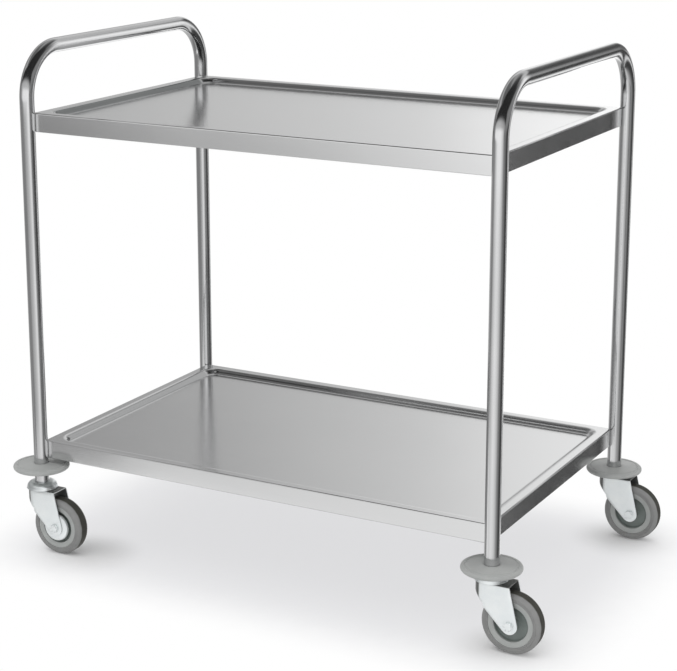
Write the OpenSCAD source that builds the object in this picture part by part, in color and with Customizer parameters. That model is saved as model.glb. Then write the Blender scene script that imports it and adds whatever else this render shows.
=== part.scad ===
// Serving trolley with two pressed shelves, two bent tube end frames and four swivel castors.
// Millimetres, +X along the trolley, +Y to its back, +Z up, the floor at Z = 0.

/* [End frames] */
// Distance between the leg axes along the trolley
leg_pitch_x = 860; // [700:5:1000]
// Distance between the leg axes across the trolley
leg_pitch_y = 540; // [420:5:640]
// Outer diameter of the frame tube
tube_d = 25; // [24:0.5:28]
// Wall of the frame tube
tube_t = 1.2; // [1:0.1:1.5]
// Centreline radius of the handle bends
bend_r = 83; // [60:1:90]
// Height of the handle's top above the upper shelf
handle_rise = 118; // [108:1:160]

/* [Shelves] */
// Height of the lower shelf above the ends of the legs
lower_rise = 76.3; // [76:0.1:110]
// Height from the lower shelf to the upper shelf
shelf_spacing = 576; // [400:2:700]
// How far the end apron lies inside the leg axes
end_inset = 6; // [5:0.5:8]
// How far the side apron lies inside the leg axes
side_inset = 5; // [5:0.5:8]
// Thickness of the shelf sheet
sheet_t = 1; // [0.8:0.1:1.2]
// Height of the turned-down apron
apron_h = 32; // [28:1:35]
// Width of the hem turned in at the apron's foot
hem_w = 9; // [6:0.5:12]
// Width of the flat rim round the pan
rim_w = 22; // [18:0.5:30]
// Depth of the pan below the rim
pan_depth = 9; // [5:0.5:11]
// Corner radius of the pan
pan_r = 20; // [12:1:40]
// Gap between the shelf's corner and the tube
corner_gap = 0.3; // [0.2:0.1:0.5]
// Width of the stiffener's raised channel
channel_w = 44; // [30:1:80]
// Depth of the stiffener's channel
channel_h = 13; // [8:1:16]
// Width of each flange of the stiffener
channel_flange = 16; // [10:1:24]
// Distance from each end of the pan to the stiffener
channel_end = 12; // [5:1:60]

/* [Corner joints] */
// Distance of the gusset's outer face from the leg axis
gusset_reach = 26; // [24:0.5:28]
// Thickness of the gusset
gusset_t = 3; // [2:0.5:4]
// Thread diameter of the corner bolt
corner_bolt_d = 6; // [5:0.5:6.5]
// Width across the flats of the corner bolt's head
corner_bolt_af = 10; // [9:0.5:11]
// Thickness of the corner bolt's head
corner_head_h = 4; // [3:0.5:5]
// Distance of the corner bolt's tip from the leg axis
corner_bolt_tip = 2; // [1:0.5:4]
// Outer diameter of the corner washer
corner_washer_d = 12; // [11.5:0.5:14]
// Thickness of the corner washer
corner_washer_t = 1.6; // [1:0.1:2]
// Body diameter of the rivet nut
rivet_nut_d = 9; // [8:0.5:10]
// Length of the rivet nut
rivet_nut_l = 8; // [7:0.5:9]
// Diameter of the rivet nut's upset collar
rivet_collar_d = 11.6; // [11:0.2:12.6]
// Height of the rivet nut's upset collar
rivet_collar_h = 2.2; // [1.5:0.1:3]

/* [Bumpers] */
// Outer diameter of a bumper ring
bumper_d = 98; // [80:1:110]
// Thickness of a bumper ring at its bore
bumper_h = 12; // [10:0.5:13]
// Thickness of a bumper ring near its rim
bumper_rim_h = 9; // [6:0.5:10]
// Radial clearance of a bumper ring on the leg
bumper_gap = 0.2; // [0.1:0.05:0.4]
// Thickness of a bumper ring over its hollow
bumper_roof_t = 4; // [3:0.5:5]
// Radius of the hollow under a bumper ring
hollow_r = 29.5; // [28.5:0.5:36]
// Height of the front left bumper above the end of its leg
bumper_lift_fl = 24.3; // [-5.2:0.5:26.3]
// Height of the front right bumper above the end of its leg
bumper_lift_fr = 3.3; // [-5.2:0.5:26.3]
// Height of the back left bumper above the end of its leg
bumper_lift_bl = 3.3; // [-5.2:0.5:26.3]
// Height of the back right bumper above the end of its leg
bumper_lift_br = -5.2; // [-5.2:0.5:26.3]

/* [Castor stem] */
// Thread diameter of the stem bolt
stem_d = 10; // [8:0.5:11]
// Width across the flats of the stem bolt's head
stem_af = 17; // [15:0.5:18]
// Thickness of the stem bolt's head
stem_head_h = 6.4; // [5:0.2:7]
// Thickness of the expander sleeve's flange under the leg
sleeve_flange_t = 2; // [1.6:0.2:4]
// Length of the expander sleeve inside the leg
sleeve_l = 38; // [30:1:42]
// Radial clearance of the sleeve in the leg
sleeve_gap = 0.1; // [0.05:0.05:0.2]
// Depth of the sleeve's conical seat
seat_h = 12; // [8:1:16]
// Radius of the conical seat at the sleeve's top
seat_top_r = 9; // [8:0.1:9.5]
// Width of the slot that lets the sleeve spread
slot_w = 2; // [1:0.5:3]
// How far the cone nut stands above the sleeve
cone_proud = 2; // [1:0.5:4]
// How far the stem bolt's tip stands above the cone nut
stem_proud = 2; // [1:0.5:6]

/* [Swivel head] */
// Height of the gap between the wheel and the crown
wheel_clear = 11.5; // [10:0.5:14]
// Thickness of the crown of the fork
crown_t = 2.5; // [2:0.1:3.5]
// Diameter of the race balls
ball_d = 5; // [4:0.5:6]
// Play of the race balls, above and below
ball_play = 0.1; // [0.05:0.05:0.2]
// Pitch radius of the race balls
ball_pitch_r = 15; // [14:0.5:16]
// Number of race balls
ball_count = 14; // [8:1:15]
// Outer radius of the upper cup
cup_r = 27; // [26:0.5:28]
// Wall of the upper cup
cup_t = 2.5; // [2:0.1:3]
// Radius of the upper cup's domed shoulder
cup_round = 10; // [8:0.5:11]
// How far the cup's dome stands up round the end of the leg
cup_collar_h = 2.3; // [1.5:0.1:2.6]
// Radial gap between the cup's dome and the leg
cup_leg_gap = 0.2; // [0.1:0.05:0.3]
// Running gap between the cup and the crown
cup_gap = 0.4; // [0.3:0.1:0.8]
// Outer radius of the kingpin
kingpin_r = 8; // [7.5:0.1:9]
// Radius of the kingpin's flange under the crown
kingpin_flange_r = 11.5; // [10.5:0.5:13]
// Thickness of the kingpin's flange
kingpin_flange_t = 1.5; // [1:0.1:2]
// Running gap between the kingpin's flange and the crown
kingpin_gap = 0.3; // [0.2:0.05:0.4]

/* [Fork] */
// Distance of the wheel axle behind the swivel axis
trail = 38; // [30:0.5:44]
// Inside width between the fork's legs
fork_gap = 33; // [32:0.5:40]
// Thickness of the fork's sheet
fork_t = 2.5; // [2:0.1:3]
// Distance from the swivel axis forward to the start of the round front
fork_front = 6; // [2:0.5:10]
// Distance from the swivel axis back to the rear top corner of a leg
fork_rear = 37; // [34:0.5:42]
// Height from the crown down to the knee of a leg's front edge
knee_drop = 37; // [34:1:42]
// Radius of the fork leg round the axle
tip_r = 14; // [12:0.5:16]
// Height from the crown down to the foot of the round front, at the legs
nose_drop = 32; // [20:1:33]
// Height from the crown down to the foot of the round front, at its middle
nose_lip = 12; // [6:1:18]

/* [Axle] */
// Thread diameter of the axle bolt
axle_d = 8; // [6:0.5:8.5]
// Width across the flats of the axle bolt's head and nut
axle_af = 13; // [11:0.5:14]
// Thickness of the axle bolt's head
axle_head_h = 5.3; // [4:0.1:6]
// Thickness of the axle nut
axle_nut_h = 6.5; // [5:0.1:8]
// Length of bolt that shows past the nut
axle_proud = 2; // [1:0.5:4]
// Outer diameter of the axle tube
axle_tube_d = 12; // [11.5:0.5:13]
// Running clearance of the bush on the axle tube
bush_gap = 0.05; // [0.02:0.01:0.1]
// Clearance of a bolt in its hole
bolt_gap = 0.05; // [0.02:0.01:0.1]
// Thickness of the spacing washer or cover beside the fork
side_washer_t = 1; // [0.8:0.1:1.2]
// Radius of the spacing washer
side_washer_r = 10; // [8:0.5:12]
// Radius of the hub cover on the left castors
cover_r = 24; // [20:0.5:28]
// Depth of the hub cover's rim
cover_depth = 6; // [3:0.5:7]
// Sideways running gap between the bush flange and the washer
side_gap = 0.3; // [0.2:0.1:0.5]

/* [Wheel] */
// Outer diameter of the wheel
wheel_d = 100; // [80:1:125]
// Width of the tyre
tyre_w = 27; // [24:0.5:28]
// Depth of the tyre from tread to hub
tyre_depth = 12; // [9:0.5:14]
// Radius of the tyre's shoulders
shoulder_r = 8; // [4:0.5:9]
// Gap between the tyre and the hub's rim
tyre_gap = 0.05; // [0.02:0.01:0.1]
// How far the hub's rim stays inside the tyre's side
rim_inset = 1; // [0.5:0.1:2]
// Thickness of the hub's rim
hub_rim_t = 9; // [6:0.5:10]
// Thickness of the hub's web
web_t = 8; // [5:0.5:12]
// Radius of the hub's boss
boss_r = 12; // [11:0.5:14]
// Outer radius of the hub bushes
bush_r = 8; // [7.5:0.1:9]
// Length of one hub bush inside the boss
bush_l = 11; // [8:0.5:13]
// Radius of a bush's flange
bush_flange_r = 9.5; // [9.2:0.1:11]
// Thickness of a bush's flange
bush_flange_t = 1.2; // [0.8:0.1:1.5]

/* [Hidden] */
$fn = 64;

CORNERS = ["front_left", "front_right", "back_left", "back_right"];
CASTOR_NODES = ["fork", "race_balls", "axle_bolt", "axle_nut", "axle_tube", "tyre", "hub", "hub_bushes"];

// The four corners, each as its name, its side along X and Y, and its bumper's height on the leg
front_left = [-1, -1];
front_right = [1, -1];
back_left = [-1, 1];
back_right = [1, 1];
ALL_CORNERS = [front_left, front_right, back_left, back_right];

leg_x = leg_pitch_x / 2;
leg_y = leg_pitch_y / 2;
tube_r = tube_d / 2;
bore_r = tube_r - tube_t;

// The castors stack up from the floor to the ends of the legs
wheel_r = wheel_d / 2;
crown_z = wheel_d + wheel_clear;
crown_top = crown_z + crown_t;
cup_ceiling = crown_top + ball_d + 2 * ball_play;
cup_top = cup_ceiling + cup_t;
leg_end = cup_top + sleeve_flange_t;
dome_top = leg_end + cup_collar_h;
kingpin_foot = crown_z - kingpin_gap - kingpin_flange_t;
stem_r = stem_d / 2;
stem_hole_r = stem_r + bolt_gap;
sleeve_top = leg_end + sleeve_l;
cone_top = sleeve_top + cone_proud;
stem_top = cone_top + stem_proud;

lower_z = leg_end + lower_rise;
upper_z = lower_z + shelf_spacing;
bar_z = upper_z + handle_rise - tube_r;
bend_z = bar_z - bend_r;

shelf_l = leg_pitch_x - 2 * end_inset;
shelf_w = leg_pitch_y - 2 * side_inset;
pan_l = shelf_l - 2 * rim_w;
pan_w = shelf_w - 2 * rim_w;
corner_r = tube_r + corner_gap;
joint_drop = apron_h / 2;
joint_heights = [lower_z - joint_drop, upper_z - joint_drop];

gusset_seat = gusset_reach + gusset_t;
washer_seat = gusset_seat + corner_washer_t;
corner_hole_r = corner_bolt_d / 2 + bolt_gap;
nut_r = rivet_nut_d / 2;
collar_r = rivet_collar_d / 2;
// The nut's face lies just inside the tube's outer surface, and its collar just inside the bore
nut_face = sqrt(tube_r ^ 2 - nut_r ^ 2) - bolt_gap;
collar_face = sqrt(bore_r ^ 2 - collar_r ^ 2) - bolt_gap;

axle_r = axle_d / 2;
axle_hole_r = axle_r + bolt_gap;
axle_tube_r = axle_tube_d / 2;
bush_bore_r = axle_tube_r + bush_gap;
leg_inner_y = fork_gap / 2;
leg_outer_y = leg_inner_y + fork_t;
cover_y = leg_inner_y - side_washer_t;
bush_y = cover_y - side_gap;
boss_y = bush_y - bush_flange_t;
hub_r = wheel_r - tyre_depth - tyre_gap;
kingpin_hole_r = kingpin_r + bush_gap;

// The resting castors all trail towards +X, so the trolley is shifted to keep its box centred
left_reach = leg_x + bumper_d / 2;
right_reach = leg_x + max(trail + wheel_r, bumper_d / 2);
frame_x = (left_reach - right_reach) / 2;

steel = [0.74, 0.75, 0.76];
sheet_steel = [0.7, 0.71, 0.72];
zinc = [0.82, 0.85, 0.86];
grey_plastic = [0.62, 0.64, 0.63];
dark_plastic = [0.36, 0.4, 0.4];
tyre_grey = [0.5, 0.5, 0.5];
white_plastic = [0.9, 0.9, 0.88];

function direction(from, to) = atan2(to[1] - from[1], to[0] - from[0]);
// Where the line from a point touches a circle, on the side that the sign picks
function touch(from, centre, r, side) =
    let (turn = direction(centre, from) + side * acos(r / norm(from - centre)))
    centre + r * [cos(turn), sin(turn)];

module rounded_rect(l, w, r) {
    square([l - 2 * r, w], center = true);
    square([l, w - 2 * r], center = true);
    for (x = [-1, 1], y = [-1, 1])
        translate([x * (l / 2 - r), y * (w / 2 - r)]) circle(r);
}

module ring(r_out, r_in, h) {
    difference() {
        cylinder(r = r_out, h = h);
        translate([0, 0, -1]) cylinder(r = r_in, h = h + 2);
    }
}

module hexagon(af, h) {
    cylinder(d = af / cos(30), h = h, $fn = 6);
}

// Puts its children at a leg, with the leg's axis as their Z axis
module at_leg(corner) {
    translate([frame_x + corner[0] * leg_x, corner[1] * leg_y, 0]) children();
}

// Puts its children at a corner joint, with Z along the bolt, from the leg axis into the shelf
module at_joint(corner, z) {
    at_leg(corner) translate([0, 0, z]) rotate([0, 90, direction(corner, [0, 0])]) children();
}

module at_each_joint() {
    for (corner = ALL_CORNERS, z = joint_heights)
        at_joint(corner, z) children();
}

// Puts its children at a wheel's centre, with Z along the axle, towards the trolley's front
module at_axle(corner) {
    at_leg(corner) translate([trail, 0, wheel_r]) rotate([90, 0, 0]) children();
}

// A solid rod of radius r along the path of an end frame
module frame_path(r) {
    for (side = [0, 1]) mirror([0, side, 0]) {
        translate([0, leg_y, leg_end]) cylinder(r = r, h = bend_z - leg_end);
        translate([0, leg_y - bend_r, bend_z]) rotate([90, 0, 90])
            rotate_extrude(angle = 90) translate([bend_r, 0]) circle(r);
    }
    translate([0, 0, bar_z]) rotate([90, 0, 0])
        cylinder(r = r, h = 2 * (leg_y - bend_r), center = true);
}

module end_frame(side) {
    color(steel) difference() {
        translate([frame_x + side * leg_x, 0, 0]) difference() {
            frame_path(tube_r);
            frame_path(bore_r);
            for (y = [-1, 1])
                translate([0, y * leg_y, leg_end - 1]) cylinder(r = bore_r, h = 2);
        }
        for (y = [-1, 1], z = joint_heights)
            at_joint([side, y], z) cylinder(r = nut_r + bolt_gap, h = tube_d);
    }
}

module shelf(top) {
    pan_z = top - pan_depth - sheet_t;
    foot_z = top - apron_h;
    color(sheet_steel) difference() {
        translate([frame_x, 0, 0]) union() {
            translate([0, 0, top - sheet_t]) linear_extrude(sheet_t) difference() {
                square([shelf_l, shelf_w], center = true);
                rounded_rect(pan_l, pan_w, pan_r);
            }
            translate([0, 0, pan_z]) linear_extrude(sheet_t)
                rounded_rect(pan_l + 2 * sheet_t, pan_w + 2 * sheet_t, pan_r + sheet_t);
            translate([0, 0, pan_z]) linear_extrude(top - pan_z) difference() {
                rounded_rect(pan_l + 2 * sheet_t, pan_w + 2 * sheet_t, pan_r + sheet_t);
                rounded_rect(pan_l, pan_w, pan_r);
            }
            translate([0, 0, foot_z]) linear_extrude(apron_h) difference() {
                square([shelf_l, shelf_w], center = true);
                square([shelf_l - 2 * sheet_t, shelf_w - 2 * sheet_t], center = true);
            }
            translate([0, 0, foot_z]) linear_extrude(sheet_t) difference() {
                square([shelf_l, shelf_w], center = true);
                square([shelf_l - 2 * hem_w, shelf_w - 2 * hem_w], center = true);
            }
            translate([0, 0, foot_z]) linear_extrude(apron_h) intersection() {
                square([shelf_l, shelf_w], center = true);
                for (x = [-1, 1], y = [-1, 1])
                    translate([x * leg_x, y * leg_y]) circle(corner_r + sheet_t);
            }
        }
        for (corner = ALL_CORNERS) {
            at_leg(corner) translate([0, 0, foot_z - 1]) cylinder(r = corner_r, h = apron_h + 2);
            at_joint(corner, top - joint_drop) cylinder(r = corner_hole_r, h = gusset_reach);
        }
    }
}

// A hat section under the pan, its raised channel down
module stiffener(top) {
    pan_foot = top - pan_depth - sheet_t;
    l = pan_l - 2 * channel_end;
    half = channel_w / 2;
    color(sheet_steel) translate([frame_x - l / 2, 0, pan_foot]) rotate([90, 0, 90]) linear_extrude(l)
        polygon([
            [-half - channel_flange, 0], [-half + sheet_t, 0],
            [-half + sheet_t, sheet_t - channel_h], [half - sheet_t, sheet_t - channel_h],
            [half - sheet_t, 0], [half + channel_flange, 0], [half + channel_flange, -sheet_t],
            [half, -sheet_t], [half, -channel_h], [-half, -channel_h], [-half, -sheet_t],
            [-half - channel_flange, -sheet_t]
        ]);
}

// Plates across the inside of the shelf corners, from apron to apron
module corner_gussets() {
    plate_h = apron_h - 2 * sheet_t;
    color(zinc) for (corner = ALL_CORNERS, z = joint_heights) difference() {
        intersection() {
            at_joint(corner, z) translate([-plate_h / 2, -gusset_seat, gusset_reach])
                cube([plate_h, 2 * gusset_seat, gusset_t]);
            translate([frame_x, 0, z - plate_h / 2]) linear_extrude(plate_h)
                square([shelf_l - 2 * sheet_t, shelf_w - 2 * sheet_t], center = true);
        }
        at_joint(corner, z) translate([0, 0, tube_r]) cylinder(r = corner_hole_r, h = gusset_seat);
    }
}

module corner_bolts() {
    color(zinc) at_each_joint() {
        translate([0, 0, corner_bolt_tip])
            cylinder(d = corner_bolt_d, h = washer_seat - corner_bolt_tip);
        translate([0, 0, washer_seat]) hexagon(corner_bolt_af, corner_head_h);
    }
}

module corner_washers() {
    color(zinc) at_each_joint() translate([0, 0, gusset_seat])
        ring(corner_washer_d / 2, corner_hole_r, corner_washer_t);
}

module rivet_nuts() {
    color(zinc) at_each_joint() difference() {
        union() {
            translate([0, 0, nut_face - rivet_nut_l]) cylinder(r = nut_r, h = rivet_nut_l);
            translate([0, 0, collar_face - rivet_collar_h]) cylinder(r = collar_r, h = rivet_collar_h);
        }
        cylinder(r = corner_hole_r, h = tube_d);
    }
}

module bumper(corner, lift) {
    rim_round = bumper_rim_h / 2;
    rim_x = bumper_d / 2 - rim_round;
    hole_r = tube_r + bumper_gap;
    roof_z = bumper_h / 2 - bumper_roof_t;
    color(grey_plastic) at_leg(corner) translate([0, 0, leg_end + lift + bumper_h / 2])
        rotate_extrude() {
            polygon([
                [hole_r, roof_z], [hollow_r, roof_z], [hollow_r, -rim_round], [rim_x, -rim_round],
                [rim_x, rim_round], [hole_r, bumper_h / 2]
            ]);
            translate([rim_x, 0]) circle(rim_round);
        }
}

module expander_sleeves() {
    color(white_plastic) for (corner = ALL_CORNERS) at_leg(corner) difference() {
        union() {
            translate([0, 0, cup_top]) cylinder(r = tube_r, h = sleeve_flange_t);
            translate([0, 0, leg_end]) cylinder(r = bore_r - sleeve_gap, h = sleeve_l);
        }
        translate([0, 0, cup_top - 1]) cylinder(r = stem_hole_r, h = sleeve_top - cup_top + 2);
        translate([0, 0, sleeve_top - seat_h])
            cylinder(r1 = stem_hole_r, r2 = seat_top_r, h = seat_h);
        translate([-tube_r, -slot_w / 2, sleeve_top - 2 * seat_h])
            cube([tube_d, slot_w, 2 * seat_h + 1]);
    }
}

// The cone that the stem bolt pulls down into the sleeve
module cone_nuts() {
    slope = (seat_top_r - stem_hole_r) / seat_h;
    foot = sleeve_top - seat_h / 2;
    foot_r = stem_hole_r + slope * seat_h / 2 - sleeve_gap;
    color(zinc) for (corner = ALL_CORNERS) at_leg(corner) translate([0, 0, foot]) difference() {
        cylinder(r1 = foot_r, r2 = foot_r + slope * (cone_top - foot), h = cone_top - foot);
        translate([0, 0, -1]) cylinder(r = stem_hole_r, h = cone_top - foot + 2);
    }
}

module stem_bolts() {
    color(zinc) for (corner = ALL_CORNERS) at_leg(corner) {
        translate([0, 0, kingpin_foot - stem_head_h]) hexagon(stem_af, stem_head_h);
        translate([0, 0, kingpin_foot]) cylinder(r = stem_r, h = stem_top - kingpin_foot);
    }
}

module kingpins() {
    color(zinc) for (corner = ALL_CORNERS) at_leg(corner) translate([0, 0, kingpin_foot]) difference() {
        union() {
            cylinder(r = kingpin_flange_r, h = kingpin_flange_t);
            cylinder(r = kingpin_r, h = cup_ceiling - kingpin_foot);
        }
        translate([0, 0, -1]) cylinder(r = stem_hole_r, h = cup_ceiling - kingpin_foot + 2);
    }
}

module swivel_cups() {
    skirt_z = crown_top + cup_gap;
    flat_r = cup_r - cup_round;
    color(zinc) for (corner = ALL_CORNERS) at_leg(corner) rotate_extrude() difference() {
        union() {
            translate([stem_hole_r, skirt_z]) square([flat_r - stem_hole_r, dome_top - skirt_z]);
            translate([flat_r, skirt_z]) square([cup_round, dome_top - cup_round - skirt_z]);
            translate([flat_r, dome_top - cup_round]) intersection() {
                circle(cup_round);
                square(cup_round);
            }
        }
        // The room for the balls below, and the seat of the leg above
        translate([0, skirt_z - 1]) square([cup_r - cup_t, cup_ceiling - skirt_z + 1]);
        translate([0, cup_top]) square([tube_r + cup_leg_gap, dome_top - cup_top + 1]);
    }
}

module race_balls(corner) {
    color(steel) at_leg(corner) for (i = [0 : ball_count - 1])
        rotate(i * 360 / ball_count) translate([ball_pitch_r, 0, crown_top + ball_play + ball_d / 2])
            sphere(d = ball_d);
}

// One leg of the fork as a flat outline, X back from the swivel axis and Y up from the floor
module fork_leg_outline() {
    axle = [trail, wheel_r];
    knee = [-fork_front, crown_z - knee_drop];
    rear = [fork_rear, crown_top];
    polygon([
        [-fork_front, crown_top], knee, touch(knee, axle, tip_r, 1), axle,
        touch(rear, axle, tip_r, -1), rear
    ]);
    translate(axle) circle(tip_r);
}

module fork(corner) {
    nose_z = crown_z - nose_drop;
    lip_z = crown_z - nose_lip;
    color(zinc) at_leg(corner) difference() {
        union() {
            translate([0, 0, crown_z]) linear_extrude(crown_t) {
                translate([-fork_front, -leg_outer_y]) square([fork_front + fork_rear, 2 * leg_outer_y]);
                translate([-fork_front, 0]) circle(leg_outer_y);
            }
            for (y = [-leg_inner_y, leg_outer_y])
                translate([0, y, 0]) rotate([90, 0, 0]) linear_extrude(fork_t) fork_leg_outline();
            intersection() {
                translate([-fork_front, 0, nose_z]) ring(leg_outer_y, leg_inner_y, crown_top - nose_z);
                translate([0, leg_outer_y, 0]) rotate([90, 0, 0]) linear_extrude(2 * leg_outer_y)
                    polygon([
                        [-fork_front, nose_z], [-fork_front, crown_top],
                        [-fork_front - leg_outer_y, crown_top], [-fork_front - leg_outer_y, lip_z]
                    ]);
            }
        }
        translate([0, 0, crown_z - 1]) cylinder(r = kingpin_hole_r, h = crown_t + 2);
        translate([trail, 0, wheel_r]) rotate([90, 0, 0])
            cylinder(r = axle_hole_r, h = 2 * leg_outer_y + 2, center = true);
    }
}

module axle_bolt(corner) {
    nut_end = leg_outer_y + axle_nut_h + axle_proud;
    color(zinc) at_axle(corner) {
        translate([0, 0, leg_outer_y]) hexagon(axle_af, axle_head_h);
        translate([0, 0, -nut_end]) cylinder(r = axle_r, h = nut_end + leg_outer_y);
    }
}

module axle_nut(corner) {
    color(zinc) at_axle(corner) translate([0, 0, -leg_outer_y - axle_nut_h]) difference() {
        hexagon(axle_af, axle_nut_h);
        translate([0, 0, -1]) cylinder(r = axle_hole_r, h = axle_nut_h + 2);
    }
}

module axle_tube(corner) {
    color(zinc) at_axle(corner) translate([0, 0, -leg_inner_y])
        ring(axle_tube_r, axle_hole_r, fork_gap);
}

module axle_washers(corner) {
    color(zinc) at_axle(corner) for (y = [cover_y, -leg_inner_y])
        translate([0, 0, y]) ring(side_washer_r, bush_bore_r, side_washer_t);
}

module hub_covers(corner) {
    color(zinc) at_axle(corner) for (side = [0, 1]) mirror([0, 0, side]) {
        translate([0, 0, cover_y]) ring(cover_r, bush_bore_r, side_washer_t);
        translate([0, 0, leg_inner_y - cover_depth])
            ring(cover_r, cover_r - side_washer_t, cover_depth - side_washer_t);
    }
}

module tyre(corner) {
    inner_r = wheel_r - tyre_depth;
    flat = tyre_w - 2 * shoulder_r;
    color(tyre_grey) at_axle(corner) difference() {
        rotate_extrude() {
            translate([inner_r, -tyre_w / 2]) square([tyre_depth - shoulder_r, tyre_w]);
            translate([inner_r, -flat / 2]) square([tyre_depth, flat]);
            for (y = [-flat / 2, flat / 2])
                translate([wheel_r - shoulder_r, y]) circle(shoulder_r);
        }
        cylinder(r = inner_r, h = tyre_w + 2, center = true);
    }
}

module hub(corner) {
    rim_y = tyre_w / 2 - rim_inset;
    bush_foot = boss_y - bush_l;
    color(dark_plastic) at_axle(corner) difference() {
        union() {
            translate([0, 0, -rim_y]) ring(hub_r, hub_r - hub_rim_t, 2 * rim_y);
            translate([0, 0, -web_t / 2]) cylinder(r = hub_r - hub_rim_t / 2, h = web_t);
            translate([0, 0, -boss_y]) cylinder(r = boss_r, h = 2 * boss_y);
        }
        translate([0, 0, -boss_y - 1]) cylinder(r = bush_r + bush_gap, h = 2 * boss_y + 2);
    }
}

module hub_bushes(corner) {
    color(white_plastic) at_axle(corner) for (side = [0, 1]) mirror([0, 0, side]) {
        translate([0, 0, boss_y]) ring(bush_flange_r, bush_bore_r, bush_flange_t);
        translate([0, 0, boss_y - bush_l]) ring(bush_r, bush_bore_r, bush_l);
    }
}

end_frame(-1);  // left_end_frame
end_frame(1);  // right_end_frame
shelf(upper_z);  // upper_shelf
shelf(lower_z);  // lower_shelf
stiffener(upper_z);  // upper_stiffener
stiffener(lower_z);  // lower_stiffener
corner_gussets();
corner_bolts();
corner_washers();
rivet_nuts();
expander_sleeves();
cone_nuts();
stem_bolts();
kingpins();
swivel_cups();
bumper(front_left, bumper_lift_fl);  // bumper_front_left
bumper(front_right, bumper_lift_fr);  // bumper_front_right
bumper(back_left, bumper_lift_bl);  // bumper_back_left
bumper(back_right, bumper_lift_br);  // bumper_back_right
hub_covers(front_left);  // hub_covers_front_left
hub_covers(back_left);  // hub_covers_back_left
axle_washers(front_right);  // axle_washers_front_right
axle_washers(back_right);  // axle_washers_back_right
for (i = [0 : 3]) {
    name = CORNERS[i];
    corner = ALL_CORNERS[i];
    fork(corner);
    race_balls(corner);
    axle_bolt(corner);
    axle_nut(corner);
    axle_tube(corner);
    tyre(corner);
    hub(corner);
    hub_bushes(corner);
}
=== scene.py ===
import math

import bmesh
import bpy
from mathutils import Matrix, Vector


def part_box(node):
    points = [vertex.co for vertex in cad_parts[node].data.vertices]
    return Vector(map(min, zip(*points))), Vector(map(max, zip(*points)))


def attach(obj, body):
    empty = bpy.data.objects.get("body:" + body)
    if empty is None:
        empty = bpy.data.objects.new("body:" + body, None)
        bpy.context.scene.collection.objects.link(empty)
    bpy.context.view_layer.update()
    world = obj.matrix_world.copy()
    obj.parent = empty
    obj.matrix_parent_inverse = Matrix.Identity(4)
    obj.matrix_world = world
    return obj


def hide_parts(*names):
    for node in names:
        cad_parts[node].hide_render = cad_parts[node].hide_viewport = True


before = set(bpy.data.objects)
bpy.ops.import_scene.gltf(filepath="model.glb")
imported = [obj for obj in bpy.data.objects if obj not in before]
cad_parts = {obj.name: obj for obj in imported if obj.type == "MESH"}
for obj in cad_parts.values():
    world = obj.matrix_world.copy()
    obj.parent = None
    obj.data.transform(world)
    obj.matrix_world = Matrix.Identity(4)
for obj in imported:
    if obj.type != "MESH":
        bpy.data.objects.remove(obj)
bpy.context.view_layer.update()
print("frame loaded with", len(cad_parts), "nodes")


# places, all taken from the frame

corners = {
    "front_left": (-1, -1),
    "front_right": (1, -1),
    "back_left": (-1, 1),
    "back_right": (1, 1),
}
quadrants = ((1, 1), (-1, 1), (-1, -1), (1, -1))  # signs of x and y, anticlockwise
quarter = math.pi / 2


def middle(node):
    low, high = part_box(node)
    return (low + high) / 2


def size(node):
    low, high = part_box(node)
    return high - low


tubeRadius = size("left_end_frame").x / 2
legX = {-1: middle("left_end_frame").x, 1: middle("right_end_frame").x}
legY = size("left_end_frame").y / 2 - tubeRadius
shelfMiddleX = middle("upper_shelf").x
wheelRadius = size("tyre_front_left").z / 2
trail = middle("tyre_front_left").x - legX[-1]


# shader maths

class Wire:  # an output socket; sums on it add Math nodes
    def __init__(self, finish, socket):
        self.finish = finish
        self.socket = socket

    def maths(self, operation, *values):
        return self.finish.add("Math", {"operation": operation}, dict(enumerate(values)))

    def __add__(self, other):
        return self.maths("ADD", self, other)

    def __radd__(self, other):
        return self.maths("ADD", other, self)

    def __sub__(self, other):
        return self.maths("SUBTRACT", self, other)

    def __rsub__(self, other):
        return self.maths("SUBTRACT", other, self)

    def __mul__(self, other):
        return self.maths("MULTIPLY", self, other)

    def __rmul__(self, other):
        return self.maths("MULTIPLY", other, self)

    def __truediv__(self, other):
        return self.maths("DIVIDE", self, other)

    def __rtruediv__(self, other):
        return self.maths("DIVIDE", other, self)

    def __abs__(self):
        return self.maths("ABSOLUTE", self)

    def root(self):
        return self.maths("SQRT", self)

    def least(self, other):
        return self.maths("MINIMUM", self, other)

    def most(self, other):
        return self.maths("MAXIMUM", self, other)


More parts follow.
